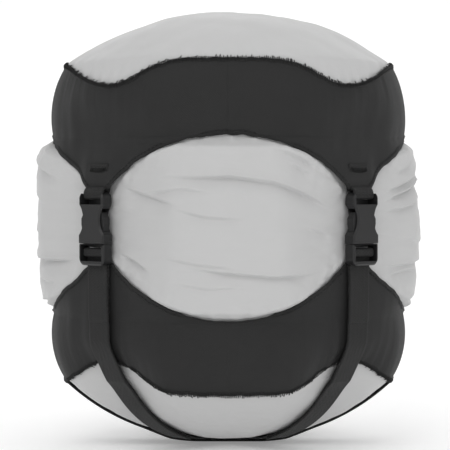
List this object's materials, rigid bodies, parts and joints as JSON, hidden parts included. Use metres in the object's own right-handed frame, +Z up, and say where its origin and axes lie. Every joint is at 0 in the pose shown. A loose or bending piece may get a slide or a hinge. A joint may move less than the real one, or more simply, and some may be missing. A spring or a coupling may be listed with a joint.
{
  "type": "compression stuff sack",
  "caption": "Round-ended fabric sack squeezed short by a cap lid, corner webbing straps and side-release buckles over a drawcord neck.",
  "frame": {"origin": "under the middle of the base, on the plane the base handle rests on", "axes": "+Z up along the sack, -Y towards the front between two straps, +X to the right seen from the front"},
  "size_m": [0.2032, 0.2032, 0.2315],
  "materials": {
    "light_nylon": "matte",
    "dark_nylon": "matte",
    "webbing": "satin",
    "buckle_plastic": "satin",
    "lock_plastic": "satin",
    "cord": "matte",
    "spring_steel": "polished"
  },
  "bodies": {
    "base": {"base_panel": "light_nylon", "bag_body": "light_nylon", "base_yoke": "dark_nylon", "base_handle": "webbing", "base_strap_upper": "webbing", "base_strap_lower": "webbing", "strap_front_left": "webbing", "strap_tail_front_left": "webbing", "strap_front_right": "webbing", "strap_tail_front_right": "webbing", "strap_rear_right": "webbing", "strap_tail_rear_right": "webbing", "strap_rear_left": "webbing", "strap_tail_rear_left": "webbing"},
    "top": {"neck_hem": "light_nylon", "drawcord": "cord"},
    "lid": {"lid_crown": "light_nylon", "lid_yoke": "dark_nylon", "lid_webbing_front_left": "webbing", "buckle_socket_front_left": "buckle_plastic", "lid_webbing_front_right": "webbing", "buckle_socket_front_right": "buckle_plastic", "lid_webbing_rear_right": "webbing", "buckle_socket_rear_right": "buckle_plastic", "lid_webbing_rear_left": "webbing", "buckle_socket_rear_left": "buckle_plastic"},
    "cord_lock": {"cord_lock_barrel": "lock_plastic", "cord_lock_spring": "spring_steel"},
    "cord_button": {"cord_lock_button": "lock_plastic"},
    "plug_front_left": {"buckle_frame_front_left": "buckle_plastic", "strap_loop_front_left": "webbing"},
    "arm_front_left_left": {"release_arm_front_left_left": "buckle_plastic"},
    "arm_front_left_right": {"release_arm_front_left_right": "buckle_plastic"},
    "plug_front_right": {"buckle_frame_front_right": "buckle_plastic", "strap_loop_front_right": "webbing"},
    "arm_front_right_left": {"release_arm_front_right_left": "buckle_plastic"},
    "arm_front_right_right": {"release_arm_front_right_right": "buckle_plastic"},
    "plug_rear_right": {"buckle_frame_rear_right": "buckle_plastic", "strap_loop_rear_right": "webbing"},
    "arm_rear_right_left": {"release_arm_rear_right_left": "buckle_plastic"},
    "arm_rear_right_right": {"release_arm_rear_right_right": "buckle_plastic"},
    "plug_rear_left": {"buckle_frame_rear_left": "buckle_plastic", "strap_loop_rear_left": "webbing"},
    "arm_rear_left_left": {"release_arm_rear_left_left": "buckle_plastic"},
    "arm_rear_left_right": {"release_arm_rear_left_right": "buckle_plastic"}
  },
  "joints": [
    {"name": "extend", "type": "slide", "parent": "base", "child": "top", "axis": [0, 0, 1], "range_m": [0, 0.15], "deforming": ["strap_front_left", "strap_tail_front_left", "strap_front_right", "strap_tail_front_right", "strap_rear_right", "strap_tail_rear_right", "strap_rear_left", "strap_tail_rear_left"]},
    {"name": "lid_off", "type": "slide", "parent": "top", "child": "lid", "axis": [0, 0, 1], "range_m": [0, 0.12], "deforming": ["release_arm_front_left_left", "release_arm_front_left_right", "release_arm_front_right_left", "release_arm_front_right_right", "release_arm_rear_right_left", "release_arm_rear_right_right", "release_arm_rear_left_left", "release_arm_rear_left_right"]},
    {"name": "cord_lock_slide", "type": "slide", "parent": "top", "child": "cord_lock", "axis": [0, -1, 0], "range_m": [0, 0.012]},
    {"name": "cord_button_press", "type": "slide", "parent": "cord_lock", "child": "cord_button", "axis": [0, 0, -1], "range_m": [0, 0.0025], "stiffness_N_per_m": 800, "deforming": ["cord_lock_spring"]},
    {"name": "unclip_front_left", "type": "slide", "parent": "top", "child": "plug_front_left", "axis": [0, 0, -1], "range_m": [0, 0.022], "deforming": ["strap_front_left", "strap_tail_front_left", "release_arm_front_left_left", "release_arm_front_left_right"]},
    {"name": "pinch_front_left_left", "type": "hinge", "parent": "plug_front_left", "child": "arm_front_left_left", "pos_m": [-0.06371, -0.07078, 0.1101], "axis": [-0.7071, -0.7071, 0], "range_deg": [0, 10], "stiffness_Nm_per_rad": 0.05},
    {"name": "pinch_front_left_right", "type": "hinge", "parent": "plug_front_left", "child": "arm_front_left_right", "pos_m": [-0.07078, -0.06371, 0.1101], "axis": [-0.7071, -0.7071, 0], "range_deg": [-10, 0], "stiffness_Nm_per_rad": 0.05},
    {"name": "unclip_front_right", "type": "slide", "parent": "top", "child": "plug_front_right", "axis": [0, 0, -1], "range_m": [0, 0.022], "deforming": ["strap_front_right", "strap_tail_front_right", "release_arm_front_right_left", "release_arm_front_right_right"]},
    {"name": "pinch_front_right_left", "type": "hinge", "parent": "plug_front_right", "child": "arm_front_right_left", "pos_m": [0.07078, -0.06371, 0.1101], "axis": [0.7071, -0.7071, 0], "range_deg": [0, 10], "stiffness_Nm_per_rad": 0.05},
    {"name": "pinch_front_right_right", "type": "hinge", "parent": "plug_front_right", "child": "arm_front_right_right", "pos_m": [0.06371, -0.07078, 0.1101], "axis": [0.7071, -0.7071, 0], "range_deg": [-10, 0], "stiffness_Nm_per_rad": 0.05},
    {"name": "unclip_rear_right", "type": "slide", "parent": "top", "child": "plug_rear_right", "axis": [0, 0, -1], "range_m": [0, 0.022], "deforming": ["strap_rear_right", "strap_tail_rear_right", "release_arm_rear_right_left", "release_arm_rear_right_right"]},
    {"name": "pinch_rear_right_left", "type": "hinge", "parent": "plug_rear_right", "child": "arm_rear_right_left", "pos_m": [0.06371, 0.07078, 0.1101], "axis": [0.7071, 0.7071, 0], "range_deg": [0, 10], "stiffness_Nm_per_rad": 0.05},
    {"name": "pinch_rear_right_right", "type": "hinge", "parent": "plug_rear_right", "child": "arm_rear_right_right", "pos_m": [0.07078, 0.06371, 0.1101], "axis": [0.7071, 0.7071, 0], "range_deg": [-10, 0], "stiffness_Nm_per_rad": 0.05},
    {"name": "unclip_rear_left", "type": "slide", "parent": "top", "child": "plug_rear_left", "axis": [0, 0, -1], "range_m": [0, 0.022], "deforming": ["strap_rear_left", "strap_tail_rear_left", "release_arm_rear_left_left", "release_arm_rear_left_right"]},
    {"name": "pinch_rear_left_left", "type": "hinge", "parent": "plug_rear_left", "child": "arm_rear_left_left", "pos_m": [-0.07078, 0.06371, 0.1101], "axis": [-0.7071, 0.7071, 0], "range_deg": [0, 10], "stiffness_Nm_per_rad": 0.05},
    {"name": "pinch_rear_left_right", "type": "hinge", "parent": "plug_rear_left", "child": "arm_rear_left_right", "pos_m": [-0.06371, 0.07078, 0.1101], "axis": [-0.7071, 0.7071, 0], "range_deg": [-10, 0], "stiffness_Nm_per_rad": 0.05}
  ],
  "couplings": [
    {"joint": "pinch_front_left_right", "follows": "pinch_front_left_left", "ratio": -1},
    {"joint": "pinch_front_right_right", "follows": "pinch_front_right_left", "ratio": -1},
    {"joint": "pinch_rear_right_right", "follows": "pinch_rear_right_left", "ratio": -1},
    {"joint": "pinch_rear_left_right", "follows": "pinch_rear_left_left", "ratio": -1}
  ]
}
